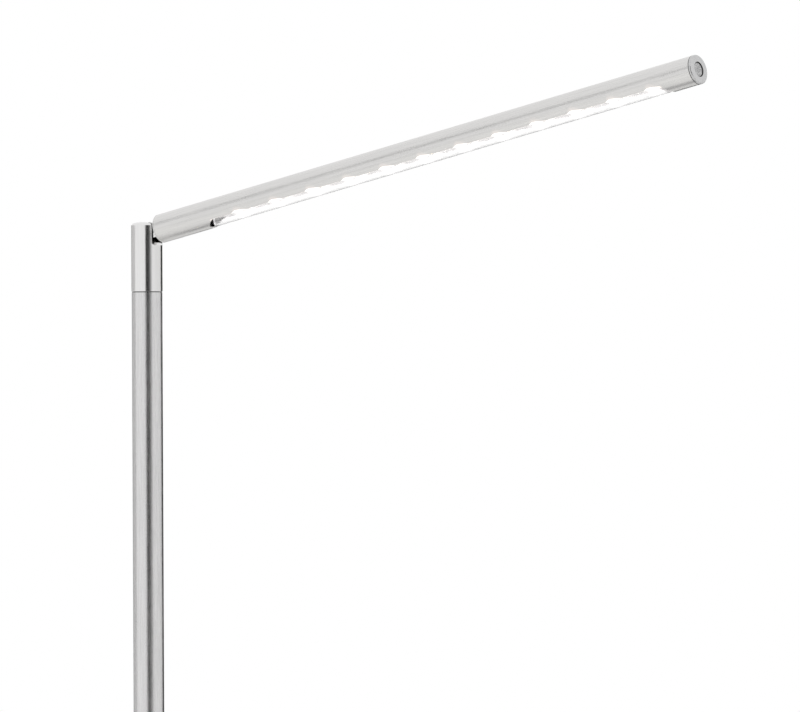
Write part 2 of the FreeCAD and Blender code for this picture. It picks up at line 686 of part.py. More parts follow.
def arm_lead():
    """The lead's stretch through the plug, up to the driver board."""
    body = new_body("arm_lead")
    section = sketch_on(body, "YZ_Plane", "tongue_lead_start + lead_bore", "Section")
    circle(section, "lead_radius")
    pad(body, section, "driver_start - tongue_lead_start - lead_bore")
    return on_arm(body)


def end_cap():
    """The turned cap: a neck in the tube, a thin dark groove, then the rounded rim."""
    face = "tube_end + cap_groove + cap_rim"
    body = turned("end_cap", [
        ("tube_end - cap_depth", "cap_room_radius"), ("tube_end - cap_depth", "arm_radius - arm_wall"),
        ("tube_end", "arm_radius - arm_wall"), ("tube_end", "arm_radius - cap_groove_depth"),
        ("tube_end + cap_groove", "arm_radius - cap_groove_depth"),
        ("tube_end + cap_groove", "arm_radius"), (face, "arm_radius"),
        (face, "button_radius + button_gap"), (face + " - cap_face_wall", "button_radius + button_gap"),
        (face + " - cap_face_wall", "cap_room_radius")], H_AXIS)
    front = size(face)
    outside = size("arm_radius")
    edges = edges_where(body, lambda edge: abs(edge.BoundBox.XMin - front) < NEAR
                        and abs(edge.BoundBox.YMax - outside) < NEAR)
    dress(body, "Fillet", edges, "cap_round")
    return on_arm(body)


def switch_carrier():
    """The disc in the cap that carries the push switch."""
    wall = "tube_end - cap_depth"
    return on_arm(turned("switch_carrier", [
        (wall, "0"), (wall, "cap_room_radius"), (wall + " + carrier_height", "cap_room_radius"),
        (wall + " + carrier_height", "0")], H_AXIS))


def push_switch():
    """The small sealed push switch behind the button."""
    body = new_body("push_switch")
    section = sketch_on(body, "YZ_Plane", "tube_end - cap_depth + carrier_height", "Section")
    half = "switch_side / 2"
    outline(section, [("-" + half, "-" + half), (half, "-" + half), (half, half), ("-" + half, half)])
    pad(body, section, "switch_height")
    return on_arm(body)


def push_button():
    """The dimmer's push button: crowned face, retaining flange and stem."""
    face = "tube_end + cap_groove + cap_rim"
    flange = face + " - cap_face_wall - button_flange_gap"
    switch = "tube_end - cap_depth + carrier_height + switch_height"
    tip = switch + " + button_travel + button_stem_gap"
    body = turned("push_button", [
        (tip, "0"), (tip, "button_stem_radius"),
        (flange + " - button_flange_height", "button_stem_radius"),
        (flange + " - button_flange_height", "button_flange_radius"),
        (flange, "button_flange_radius"), (flange, "button_radius"),
        (face + " - button_recess - button_crown", "button_radius"),
        (face + " - button_recess", "0", H_AXIS)], H_AXIS)
    return on_arm(body)


PIECES = [
    base_pad, base_plate, base_cover, base_washer, base_bolt, foot_plug, post_tube, cable_inlet,
    post_lead, swivel_bush, swivel_head, hinge_pin, friction_washers, spring_washer, swivel_nut,
    head_lead, arm_knuckle, arm_tube, tube_grub_screw, heat_sink, led_board, leds, reflector, lens,
    driver_board, arm_lead, end_cap, switch_carrier, push_switch, push_button,
]

made = [piece() for piece in PIECES]
doc.recompute()

for item in doc.Objects:
    if "Invalid" in item.State or "Error" in item.State:
        raise ValueError("%s (%s) failed: %s" % (item.Name, item.Label, item.State))
for item in made:
    if item.Shape.isNull() or not item.Shape.isValid() or item.Shape.Volume <= 0:
        raise ValueError("%s has no valid shape" % item.Label)

os.makedirs("parts", exist_ok=True)
for item in made:
    item.Shape.exportStep("parts/%s.step" % item.Label)
    box = item.Shape.BoundBox
    print("%-18s volume %9.1f  x %7.1f %7.1f  y %6.1f %6.1f  z %7.1f %7.1f  solids %d" % (
        item.Label, item.Shape.Volume, box.XMin, box.XMax, box.YMin, box.YMax, box.ZMin, box.ZMax,
        len(item.Shape.Solids)))
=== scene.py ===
import bpy
import bmesh
import json
import math
from mathutils import Matrix, Vector


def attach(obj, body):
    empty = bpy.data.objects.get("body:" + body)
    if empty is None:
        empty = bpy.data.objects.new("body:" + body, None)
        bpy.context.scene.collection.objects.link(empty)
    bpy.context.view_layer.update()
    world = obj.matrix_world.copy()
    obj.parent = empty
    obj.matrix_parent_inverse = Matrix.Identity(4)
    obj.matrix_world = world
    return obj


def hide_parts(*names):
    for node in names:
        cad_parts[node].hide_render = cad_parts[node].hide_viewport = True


# Office floor lamp: finishes for the CAD nodes, detailed pieces over those that show, and a plain studio.
# Lengths in the pieces' dictionaries are in millimetres and angles in degrees. The stage is in metres.
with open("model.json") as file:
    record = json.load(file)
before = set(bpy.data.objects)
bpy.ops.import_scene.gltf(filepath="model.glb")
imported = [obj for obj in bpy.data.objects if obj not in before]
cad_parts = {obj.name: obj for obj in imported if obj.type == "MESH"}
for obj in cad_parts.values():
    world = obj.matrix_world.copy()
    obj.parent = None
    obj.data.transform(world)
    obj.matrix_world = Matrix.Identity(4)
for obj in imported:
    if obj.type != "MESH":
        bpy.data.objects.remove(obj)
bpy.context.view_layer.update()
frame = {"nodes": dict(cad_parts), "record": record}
scene = bpy.context.scene
mm = 0.001
nearAxis = 0.3  # where a solid turned piece starts, before its middle is closed

# arm pieces are made along +X from the hinge pin and then tilted up about it
arm = {"pinHeight": 1210, "tilt": 12.7}
pinPlace = Vector((0, 0, arm["pinHeight"] * mm))
armPlace = Matrix.Translation(pinPlace) @ Matrix.Rotation(-math.radians(arm["tilt"]), 4, "Y")
upToX = Matrix.Rotation(math.radians(90), 4, "Y")
alongArm = armPlace @ upToX
ledRow = {"first": 98.6, "pitch": 37.3, "count": 12}


# ways of working

def makeActive(piece):
    bpy.ops.object.select_all(action="DESELECT")
    piece.select_set(True)
    bpy.context.view_layer.objects.active = piece


def named(name):
    piece = bpy.context.object
    piece.name = name
    piece.data.name = name
    bpy.ops.object.transform_apply(location=True, rotation=True, scale=True)
    return piece


def pick(piece, test):
    # selects the corners whose place passes the test, in edit mode
    bpy.ops.mesh.select_mode(type="VERT")
    bpy.ops.mesh.select_all(action="DESELECT")
    shape = bmesh.from_edit_mesh(piece.data)
    for corner in shape.verts:
        corner.select = bool(test(corner.co))
    shape.select_flush(True)
    bmesh.update_edit_mesh(piece.data)


def turnPiece(name, stations, sides=96, solid=False):
    # a ring, extruded and resized from station to station: (radius, height)
    bpy.ops.object.select_all(action="DESELECT")
    radius, height = stations[0]
    bpy.ops.mesh.primitive_circle_add(vertices=sides, radius=radius * mm, location=(0, 0, height * mm))
    piece = named(name)
    bpy.ops.object.mode_set(mode="EDIT")
    bpy.ops.mesh.select_mode(type="EDGE")
    bpy.ops.mesh.select_all(action="SELECT")
    for before, after in zip(stations, stations[1:]):
        rise = (after[1] - before[1]) * mm
        grow = after[0] / before[0]
        bpy.ops.mesh.extrude_edges_move(TRANSFORM_OT_translate={"value": (0, 0, rise)})
        bpy.ops.transform.resize(value=(grow, grow, 1), center_override=(0, 0, after[1] * mm))
    if solid:
        for radius, height in (stations[0], stations[-1]):
            pick(piece, lambda place: abs(place.z - height * mm) < 1e-6
                 and place.xy.length < radius * mm * 1.01)
            bpy.ops.mesh.merge(type="COLLAPSE")
    bpy.ops.mesh.select_all(action="SELECT")
    bpy.ops.mesh.remove_doubles(threshold=1e-6)
    bpy.ops.mesh.normals_make_consistent(inside=False)
    bpy.ops.object.mode_set(mode="OBJECT")
    return piece


def roundedTo(stations, end, steps=6, outward=True):
    # adds a quarter round from the last station to the end, level first when it goes outward
    start = stations[-1]
    for number in range(1, steps + 1):
        turn = math.radians(90) * number / steps
        across, up = math.sin(turn), 1 - math.cos(turn)
        if not outward:
            across, up = up, across
        stations.append((start[0] + (end[0] - start[0]) * across, start[1] + (end[1] - start[1]) * up))


def crownStations(radius, low, high, steps):
    # an arc from an edge up to the middle, centred on the axis
    rise = high - low
    sweep = (radius ** 2 + rise ** 2) / (2 * rise)
    first = math.asin(radius / sweep)
    turns = [first * (1 - number / steps) for number in range(steps)]
    return [(sweep * math.sin(turn), high - sweep + sweep * math.cos(turn)) for turn in turns]


def barPiece(name, low, high):
    # a bar between two opposite corners
    bpy.ops.object.select_all(action="DESELECT")
    middle = [(a + b) / 2 * mm for a, b in zip(low, high)]
    span = [(b - a) * mm for a, b in zip(low, high)]
    bpy.ops.mesh.primitive_cube_add(size=1, location=middle, scale=span)
    return named(name)


def rodPiece(name, radius, start, end, sides=64):
    bpy.ops.object.select_all(action="DESELECT")
    first = Vector(start) * mm
    last = Vector(end) * mm
    lean = (last - first).to_track_quat("Z", "Y").to_euler()
    bpy.ops.mesh.primitive_cylinder_add(vertices=sides, radius=radius * mm, depth=(last - first).length,
                                        location=(first + last) / 2, rotation=lean)
    return named(name)


def longRound(name, start, end, halfWidth, low, high, sides=96):
    # a rod with one half of its corners drawn along X: a bar with round ends
    piece = rodPiece(name, halfWidth, (start + halfWidth, 0, low), (start + halfWidth, 0, high), sides)
    bpy.ops.object.mode_set(mode="EDIT")
    pick(piece, lambda place: place.x > (start + halfWidth) * mm + 1e-6)
    bpy.ops.transform.translate(value=((end - start - 2 * halfWidth) * mm, 0, 0))
    bpy.ops.object.mode_set(mode="OBJECT")
    return piece


def combine(piece, other, way="DIFFERENCE"):
    # cuts, joins or keeps what both share, and clears the other piece away
    makeActive(piece)
    change = piece.modifiers.new("combine", "BOOLEAN")
    change.object = other
    change.operation = way
    change.solver = "EXACT"
    bpy.ops.object.modifier_apply(modifier=change.name)
    bpy.data.objects.remove(other)


def soften(piece, width, segments=2, limit=35):
    # bevels the edges that turn by more than the limit
    makeActive(piece)
    edge = piece.modifiers.new("soften", "BEVEL")
    edge.width = width * mm
    edge.segments = segments
    edge.limit_method = "ANGLE"
    edge.angle_limit = math.radians(limit)
    edge.use_clamp_overlap = True
    bpy.ops.object.modifier_apply(modifier=edge.name)


def repeatPerLed(piece):
    makeActive(piece)
    row = piece.modifiers.new("row", "ARRAY")
    row.count = ledRow["count"]
    row.use_relative_offset = False
    row.use_constant_offset = True
    row.constant_offset_displace = (ledRow["pitch"] * mm, 0, 0)
    bpy.ops.object.modifier_apply(modifier=row.name)


def settle(piece, body, finish, swaps, place=None, smooth=30):
    # puts a finished piece in its place, on its body and in its finish, with its long faces shaded true
    makeActive(piece)
    if place is not None:
        piece.data.transform(place)
    bpy.ops.object.shade_smooth_by_angle(angle=math.radians(smooth))
    shading = piece.modifiers.new("shading", "WEIGHTED_NORMAL")
    shading.keep_sharp = True
    bpy.ops.object.modifier_apply(modifier=shading.name)
    piece.data.materials.clear()
    piece.data.materials.append(finish)
    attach(piece, body)
    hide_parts(*swaps)


# ways of making a finish

noiseSpan = (0.3, 0.7)  # most of a noise's values lie between these
surface = {"noiseRoughness": 0.6, "cloudScale": 22, "cloudShare": 0.35, "metalRelief": 0.35, "plainRelief": 0.5}


def newFinish(name, **values):
    finish = bpy.data.materials.new(name)
    finish.use_nodes = True
    shader = finish.node_tree.nodes["Principled BSDF"]
    for socket, value in values.items():
        shader.inputs[socket.replace("_", " ")].default_value = value
    return finish, finish.node_tree, shader


def addNode(tree, kind, settings=None, **links):
    # settings are the node's own choices and its sockets' values, links feed its sockets
    node = tree.nodes.new(kind)
    for key, value in (settings or {}).items():
        if hasattr(node, key):
            setattr(node, key, value)
        else:
            node.inputs[key].default_value = value
    for socket, source in links.items():
        tree.links.new(source, node.inputs[socket])
    return node


def ownPlace(tree, tilted=False):
    # the piece's own coordinates, turned to run along the arm for arm pieces
    place = addNode(tree, "ShaderNodeTexCoord").outputs["Object"]
    if tilted:
        turned = addNode(tree, "ShaderNodeMapping", {"vector_type": "TEXTURE"}, Vector=place)
        turned.inputs["Location"].default_value = pinPlace
        turned.inputs["Rotation"].default_value = (0, -math.radians(arm["tilt"]), 0)
        place = turned.outputs["Vector"]
    return place


def grain(tree, place, stretch, scale, detail=3):
    mapped = addNode(tree, "ShaderNodeMapping", Vector=place)
    mapped.inputs["Scale"].default_value = stretch
    noise = addNode(tree, "ShaderNodeTexNoise", {"Scale": scale, "Detail": detail,
                                                 "Roughness": surface["noiseRoughness"]},
                    Vector=mapped.outputs["Vector"])
    return noise.outputs["Fac"]


def between(tree, noise, low, high):
    # a noise, spread from low to high
    ranged = addNode(tree, "ShaderNodeMapRange", {"From Min": noiseSpan[0], "From Max": noiseSpan[1],
                                                  "To Min": low, "To Max": high}, Value=noise)
    return ranged.outputs["Result"]


def eased(tree, value, fromLow, fromHigh, low, high):
    # a smooth step from one level to another
    step = addNode(tree, "ShaderNodeMapRange", {"From Min": fromLow, "From Max": fromHigh,
                                                "To Min": low, "To Max": high}, Value=value)
    step.interpolation_type = "SMOOTHSTEP"
    return step.outputs["Result"]


def tinted(tree, noise, dark, light):
    ramp = addNode(tree, "ShaderNodeValToRGB", Fac=noise)
    for element, position, colour in zip(ramp.color_ramp.elements, noiseSpan, (dark, light)):
        element.position = position
        element.color = (*colour, 1)
    return ramp.outputs["Color"]


def relief(tree, shader, value, strength, depth):
    bump = addNode(tree, "ShaderNodeBump", {"Strength": strength, "Distance": depth * mm}, Height=value)
    tree.links.new(bump.outputs["Normal"], shader.inputs["Normal"])


def reckon(tree, kind, first, second):
    # sums on values and linked sockets
    node = addNode(tree, "ShaderNodeMath", {"operation": kind})
    for socket, value in zip(node.inputs, (first, second)):
        if isinstance(value, (int, float)):
            socket.default_value = value
        else:
            tree.links.new(value, socket)
    return node.outputs[0]


def metalFinish(name, dark, light, stretch, scale, rough, depth, tilted=False):
    finish, tree, shader = newFinish(name, Metallic=1.0)
    place = ownPlace(tree, tilted)
    lines = grain(tree, place, stretch, scale, detail=4)
    cloud = grain(tree, place, (1, 1, 1), surface["cloudScale"], detail=2)
    tree.links.new(tinted(tree, lines, dark, light), shader.inputs["Base Color"])
    blend = addNode(tree, "ShaderNodeMix", {"Factor": surface["cloudShare"]}, A=lines, B=cloud)
    tree.links.new(between(tree, blend.outputs["Result"], *rough), shader.inputs["Roughness"])
    relief(tree, shader, lines, surface["metalRelief"], depth)
    return finish


def plainFinish(name, dark, light, scale, rough, depth, **values):
    finish, tree, shader = newFinish(name, **values)
    spots = grain(tree, ownPlace(tree), (1, 1, 1), scale, detail=4)
    tree.links.new(tinted(tree, spots, dark, light), shader.inputs["Base Color"])
    tree.links.new(between(tree, spots, *rough), shader.inputs["Roughness"])
    relief(tree, shader, spots, surface["plainRelief"], depth)
    return finish


# metals: colours of the grain, how it is stretched, its scale, its gloss and its depth
baseSteel = metalFinish("baseSteel", dark=(0.52, 0.52, 0.53), light=(0.7, 0.7, 0.7),
                        stretch=(1, 1, 0.2), scale=500, rough=(0.2, 0.32), depth=0.006)
postSteel = metalFinish("postSteel", dark=(0.6, 0.595, 0.6), light=(0.76, 0.755, 0.755),
                        stretch=(1, 1, 0.012), scale=2600, rough=(0.2, 0.34), depth=0.012)
headSteel = metalFinish("headSteel", dark=(0.74, 0.735, 0.735), light=(0.8, 0.795, 0.79),
                        stretch=(1, 1, 0.02), scale=1800, rough=(0.15, 0.22), depth=0.004)
capMetal = metalFinish("capMetal", dark=(0.5, 0.5, 0.505), light=(0.62, 0.62, 0.62),
                       stretch=(1, 1, 1), scale=900, rough=(0.2, 0.32), depth=0.004, tilted=True)
sinkMetal = metalFinish("sinkMetal", dark=(0.4, 0.4, 0.41), light=(0.55, 0.55, 0.56),
                        stretch=(0.03, 1, 1), scale=900, rough=(0.35, 0.5), depth=0.02, tilted=True)
zincSteel = metalFinish("zincSteel", dark=(0.45, 0.45, 0.44), light=(0.62, 0.62, 0.6),
                        stretch=(1, 1, 1), scale=260, rough=(0.25, 0.45), depth=0.01)

castIron = plainFinish("castIron", dark=(0.03, 0.03, 0.032), light=(0.075, 0.073, 0.07),
                       scale=900, rough=(0.6, 0.85), depth=0.12)
feltPad = plainFinish("feltPad", dark=(0.03, 0.03, 0.032), light=(0.1, 0.1, 0.1),
                      scale=1500, rough=(0.9, 1.0), depth=0.3, Sheen_Weight=0.5)
blackRubber = plainFinish("blackRubber", dark=(0.012, 0.012, 0.012), light=(0.03, 0.03, 0.03),
                          scale=1200, rough=(0.5, 0.7), depth=0.03)
# dark bearing finish, also laid on the end cap's joint and button wall as painted shade
darkBearingAndPaintedShade = plainFinish("darkBearingAndPaintedShade", dark=(0.02, 0.02, 0.02), light=(0.05, 0.05, 0.05),
                          scale=1600, rough=(0.4, 0.6), depth=0.01)
leadSheath = plainFinish("leadSheath", dark=(0.03, 0.03, 0.03), light=(0.06, 0.06, 0.06),
                         scale=500, rough=(0.4, 0.55), depth=0.02)
whiteBoard = plainFinish("whiteBoard", dark=(0.72, 0.73, 0.72), light=(0.82, 0.82, 0.81),
                         scale=900, rough=(0.35, 0.5), depth=0.005)
cupWhite = plainFinish("cupWhite", dark=(0.74, 0.74, 0.74), light=(0.84, 0.84, 0.84),
                       scale=400, rough=(0.15, 0.3), depth=0.004)
buttonGrey = plainFinish("buttonGrey", dark=(0.22, 0.22, 0.225), light=(0.72, 0.72, 0.72),
                         scale=800, rough=(0.3, 0.5), depth=0.03, Metallic=0.6)

# painted light: the LEDs' light, painted as a glow on the tube's edge and in the clear bar
glow = {"before": 6.5, "after": 15, "rowStart": (12, 8), "rowEnd": (10, 14),
        "litStart": 70, "litEnd": 521, "litFade": 3,
        "edge": -6.25, "crest": 1.7, "crestFade": 0.35, "rim": 0.15,
        "halo": 6, "haloFade": 0.9, "haloLevel": 0.14, "warm": (1.0, 0.72, 0.6), "white": (1.0, 0.98, 0.94),
        "lensFoot": -10.65, "lensSide": -10.1, "lensLight": (0.86, 0.835, 0.83),
        "fleckStretch": (0.22, 1, 1), "fleckScale": 620, "fleckSpan": (0.4, 0.56), "fleckLevels": (0.055, 0.13),
        "lensBright": 0.3, "ledStrength": 14.0}


def ledSpread(tree):
    # how near a place is to an LED along the arm, its height, and whether it is in the window's lit stretch
    place = addNode(tree, "ShaderNodeSeparateXYZ", Vector=ownPlace(tree, True))
    out = place.outputs["X"]
    first = ledRow["first"]
    last = first + ledRow["pitch"] * (ledRow["count"] - 1)
    steps = reckon(tree, "DIVIDE", reckon(tree, "SUBTRACT", out, first * mm), ledRow["pitch"] * mm)
    nearest = reckon(tree, "ROUND", steps, 0)
    apart = reckon(tree, "MULTIPLY", reckon(tree, "SUBTRACT", steps, nearest), ledRow["pitch"])
    rise = eased(tree, apart, -glow["before"], 0, 0, 1)
    fall = eased(tree, apart, 0, glow["after"], 1, 0)
    begin = eased(tree, out, (first - glow["rowStart"][0]) * mm, (first - glow["rowStart"][1]) * mm, 0, 1)
    cease = eased(tree, out, (last + glow["rowEnd"][0]) * mm, (last + glow["rowEnd"][1]) * mm, 1, 0)
    inRow = reckon(tree, "MULTIPLY", begin, cease)
    near = reckon(tree, "MULTIPLY", reckon(tree, "MULTIPLY", rise, fall), inRow)
    start = eased(tree, out, glow["litStart"] * mm, (glow["litStart"] + glow["litFade"]) * mm, 0, 1)
    end = eased(tree, out, (glow["litEnd"] - glow["litFade"]) * mm, glow["litEnd"] * mm, 1, 0)
    return near, place.outputs["Z"], reckon(tree, "MULTIPLY", start, end)


def shine(tree, shader, colour, level):
    # emission at a linked level, in a colour that is a value or linked
    lit = addNode(tree, "ShaderNodeVectorMath", {"operation": "SCALE"}, Scale=level)
    if isinstance(colour, tuple):
        lit.inputs[0].default_value = colour
    else:
        tree.links.new(colour, lit.inputs[0])
    tree.links.new(lit.outputs[0], shader.inputs["Emission Color"])
    shader.inputs["Emission Strength"].default_value = 1.0


def armAluminiumPaintedGlow():
    finish = metalFinish("armAluminiumPaintedGlow", dark=(0.64, 0.635, 0.63), light=(0.73, 0.72, 0.71),
                         stretch=(0.02, 1, 1), scale=1500, rough=(0.24, 0.34), depth=0.006, tilted=True)
    tree = finish.node_tree
    # painted light: a glow painted on the tube for each LED's light, cresting over the window's edge and fading
    # up the tube
    near, height, inside = ledSpread(tree)
    above = reckon(tree, "MAXIMUM", reckon(tree, "SUBTRACT", height, glow["edge"] * mm), 0.0)
    rim = reckon(tree, "MAXIMUM", near, reckon(tree, "MULTIPLY", inside, glow["rim"]))
    crest = reckon(tree, "SUBTRACT", rim, reckon(tree, "DIVIDE", above, glow["crest"] * mm))
    halo = reckon(tree, "SUBTRACT", near, reckon(tree, "DIVIDE", above, glow["halo"] * mm))
    white = eased(tree, crest, 0, glow["crestFade"], 0, 1)
    warm = eased(tree, halo, 0, glow["haloFade"], 0, glow["haloLevel"])
    light = addNode(tree, "ShaderNodeMix", {"data_type": "RGBA"}, Factor=white)
    light.inputs[6].default_value = (*glow["warm"], 1)
    light.inputs[7].default_value = (*glow["white"], 1)
    # painted light: the tube's own metal emits this glow, as the LEDs' light would fall on it
    shine(tree, tree.nodes["Principled BSDF"], light.outputs[2], reckon(tree, "MAXIMUM", white, warm))
    return finish


def ledGlow():
    finish, tree, shader = newFinish("ledGlow", Roughness=0.4, Emission_Strength=glow["ledStrength"])
    spots = grain(tree, ownPlace(tree, True), stretch=(1, 1, 1), scale=1400, detail=2)
    yellow = tinted(tree, spots, dark=(0.95, 0.8, 0.35), light=(1.0, 0.88, 0.5))
    shining = tinted(tree, spots, dark=(1.0, 0.86, 0.7), light=(1.0, 0.93, 0.84))
    tree.links.new(yellow, shader.inputs["Base Color"])
    tree.links.new(shining, shader.inputs["Emission Color"])
    return finish


def clearLensPaintedGlow():
    finish, tree, shader = newFinish("clearLensPaintedGlow", Transmission_Weight=1.0, IOR=1.49)
    shader.inputs["Base Color"].default_value = (0.97, 0.97, 0.975, 1)
    spots = grain(tree, ownPlace(tree, True), stretch=(0.3, 1, 1), scale=60)
    tree.links.new(between(tree, spots, low=0.03, high=0.08), shader.inputs["Roughness"])
    # painted light: the sides glow with a painted copy of the LEDs' light, with small flecks of fainter painted
    # glow between them
    near, height, inside = ledSpread(tree)
    side = eased(tree, height, glow["lensFoot"] * mm, glow["lensSide"] * mm, 0, 1)
    flecks = grain(tree, ownPlace(tree, True), glow["fleckStretch"], glow["fleckScale"], detail=1)
    fleckGlow = eased(tree, flecks, *glow["fleckSpan"], *glow["fleckLevels"])
    level = reckon(tree, "MAXIMUM", fleckGlow, reckon(tree, "MULTIPLY", near, glow["lensBright"]))
    level = reckon(tree, "MULTIPLY", level, reckon(tree, "MULTIPLY", side, inside))
    # painted light: the lens sides emit this glow, though the lens is no lamp
    shine(tree, shader, glow["lensLight"], level)
    return finish


armMetalPaintedGlow = armAluminiumPaintedGlow()
ledYellow = ledGlow()
lensClearPaintedGlow = clearLensPaintedGlow()
print("finishes made")

# every CAD node takes the finish of its slot, and detailed pieces then stand for those that show
slotFinish = {
    "felt": feltPad, "cast_iron": castIron, "brushed_steel": postSteel, "zinc_steel": zincSteel,
    "black_rubber": blackRubber, "lead_sheath": leadSheath, "dark_bearing": darkBearingAndPaintedShade,
    "satin_steel": headSteel, "satin_aluminium": armMetalPaintedGlow, "sink_aluminium": sinkMetal,
    "white_board": whiteBoard, "white_reflector": cupWhite, "button_grey": buttonGrey,
    "led_phosphor": ledYellow, "clear_lens": lensClearPaintedGlow,
}
nodeSlots = {part["node"]: part["material_slot"] for part in frame["record"]["subparts"]}
for node, slotName in nodeSlots.items():
    shown = frame["nodes"][node]
    shown.data.materials.clear()
    shown.data.materials.append(slotFinish[slotName])
print("CAD nodes dressed")

# base
base = {"radius": 124.95, "top": 18, "wall": 1.5, "lift": 1.2, "round": 5, "boltHole": 5.5, "edge": 0.25,
        "padRadius": 121, "padHeight": 2.5, "padRound": 0.8, "padChamfer": 0.3}


def makeBase():
    flat = base["radius"] - base["round"]
    inside = base["radius"] - base["wall"]
    outer = [(base["boltHole"], base["top"]), (flat, base["top"])]
    roundedTo(outer, (base["radius"], base["top"] - base["round"]), 10)
    outer += [(base["radius"], base["lift"]), (inside, base["lift"]), (inside, base["top"] - base["round"])]
    roundedTo(outer, (flat, base["top"] - base["wall"]), 8, outward=False)
    outer += [(base["boltHole"], base["top"] - base["wall"]), (base["boltHole"], base["top"])]
    cover = turnPiece("baseShell", outer, sides=160)
    soften(cover, base["edge"], limit=50)
    settle(cover, "stand", baseSteel, ["base_cover"])
    low = [(nearAxis, 0), (base["padRadius"] - base["padRound"], 0)]
    roundedTo(low, (base["padRadius"], base["padRound"]), 4)
    low += [(base["padRadius"], base["padHeight"] - base["padChamfer"]),
            (base["padRadius"] - base["padChamfer"], base["padHeight"]), (nearAxis, base["padHeight"])]
    pad = turnPiece("feltFoot", low, sides=160, solid=True)
    settle(pad, "stand", feltPad, ["base_pad"])


makeBase()

# post, the dark seam on its top and the cord's inlet
post = {"radius": 12.5, "wall": 1.5, "foot": 18, "top": 1161.4, "edge": 0.2,
        "bushRim": 12.1, "bushTop": 1162, "bushLength": 16, "bushEdge": 0.15, "journal": 7.55}
inlet = {"height": 60, "hole": 4, "flange": 5.6, "lip": 1.6, "neck": 3, "bore": 2.5, "round": 0.8,
         "shoulder": 0.9, "gap": 0.1, "seat": 0.25, "barb": 1, "barbTaper": 0.4}


def makePost():
    inside = post["radius"] - post["wall"]
    sleeve = turnPiece("postSleeve", [(inside, post["foot"]), (post["radius"], post["foot"]),
                                      (post["radius"], post["top"]), (inside, post["top"]),
                                      (inside, post["foot"])], sides=128)
    combine(sleeve, rodPiece("inletHole", inlet["hole"], (-20, 0, inlet["height"]), (-5, 0, inlet["height"])))
    soften(sleeve, post["edge"], limit=50)
    settle(sleeve, "stand", postSteel, ["post_tube"])
    rim, edge = post["bushRim"], post["bushEdge"]
    seam = turnPiece("seamRing", [
        (post["journal"], post["bushTop"]), (rim - edge, post["bushTop"]), (rim, post["bushTop"] - edge),
        (rim, post["top"]), (inside, post["top"]), (inside, post["top"] - post["bushLength"]),
        (post["journal"], post["top"] - post["bushLength"]), (post["journal"], post["bushTop"])])
    settle(seam, "stand", darkBearingAndPaintedShade, ["swivel_bush"])


def makeInlet():
    # turned upright, then laid along X through the post's back wall
    wall = -post["radius"]
    outside = wall - inlet["lip"]
    neck = inlet["hole"] - inlet["gap"]
    lip = [(inlet["bore"], outside), (inlet["flange"] - inlet["shoulder"], outside)]
    roundedTo(lip, (inlet["flange"], outside + inlet["round"]), 5)
    lip += [(inlet["flange"], wall + inlet["seat"]), (neck, wall + inlet["seat"]), (neck, wall + inlet["neck"]),
            (inlet["hole"] + inlet["barb"], wall + inlet["neck"]),
            (inlet["hole"] + inlet["barb"] - inlet["barbTaper"], wall + inlet["neck"] + inlet["barb"]),
            (inlet["bore"], wall + inlet["neck"] + inlet["barb"]), (inlet["bore"], outside)]
    grommet = turnPiece("inletGrommet", lip, sides=48)
    toHole = Matrix.Translation((0, 0, inlet["height"] * mm)) @ upToX
    settle(grommet, "stand", blackRubber, ["cable_inlet"], toHole)


makePost()
makeInlet()
print("base and post made")

# swivel head and its hinge pin
head = {"radius": 12.7, "seam": 1162.1, "seamEdge": 0.15, "journal": 7.5, "journalLength": 16.7,
        "thread": 6, "threadLength": 10, "threadChamfer": 0.4, "shoulder": 6.2, "edge": 7.7, "edgeRadius": 11.5,
        "crown": 9.6, "slotBack": 7.3, "slotWidth": 14.4, "slotFloor": 8,
        "stepStart": 9, "stepEnd": 11.7, "step": 2.2, "bore": 3, "soft": 0.18}
hingePin = {"radius": 2.5, "bore": 2.55, "tip": 2.2, "chamfer": 0.3, "end": 10.4, "seat": 9.6,
            "head": 4, "headHeight": 1.9, "headGap": 0.1, "slotHalf": 0.5, "slotDepth": 0.9, "soft": 0.08}


def makeHead():
    pin = arm["pinHeight"]
    shoulder = head["seam"] - head["journalLength"]
    foot = shoulder - head["threadLength"]
    outline = [(nearAxis, foot), (head["thread"] - head["threadChamfer"], foot),
               (head["thread"], foot + head["threadChamfer"]), (head["thread"], shoulder),
               (head["journal"], shoulder), (head["journal"], head["seam"]),
               (head["radius"] - head["seamEdge"], head["seam"]),
               (head["radius"], head["seam"] + head["seamEdge"]),
               (head["radius"], pin + head["shoulder"]), (head["edgeRadius"], pin + head["edge"])]
    outline += crownStations(head["edgeRadius"], pin + head["edge"], pin + head["crown"], 10)[1:]
    outline += [(nearAxis, pin + head["crown"])]
    collar = turnPiece("headCollar", outline, sides=128, solid=True)
    half = head["slotWidth"] / 2
    floor = pin - head["slotFloor"]
    combine(collar, barPiece("slot", (-head["slotBack"], -half, floor), (20, half, pin + 20)))
    # the slot's floor falls away at the front so that the arm can dip
    step = barPiece("step", (head["stepStart"], -half, floor - head["step"]), (20, half, floor + 1))
    bpy.ops.object.mode_set(mode="EDIT")
    pick(step, lambda place: place.x < (head["stepStart"] + 1) * mm and place.z < floor * mm)
    bpy.ops.transform.translate(value=((head["stepEnd"] - head["stepStart"]) * mm, 0, 0))
    bpy.ops.object.mode_set(mode="OBJECT")
    combine(collar, step)
    seat = hingePin["head"] + hingePin["headGap"]
    combine(collar, rodPiece("bore", head["bore"], (0, 0, foot - 5), (0, 0, pin)))
    combine(collar, rodPiece("pinBore", hingePin["bore"], (0, -hingePin["end"], pin), (0, 20, pin)))
    combine(collar, rodPiece("pinSeat", seat, (0, hingePin["seat"], pin), (0, 20, pin)))
    soften(collar, head["soft"], limit=40)
    settle(collar, "head", headSteel, ["swivel_head"])


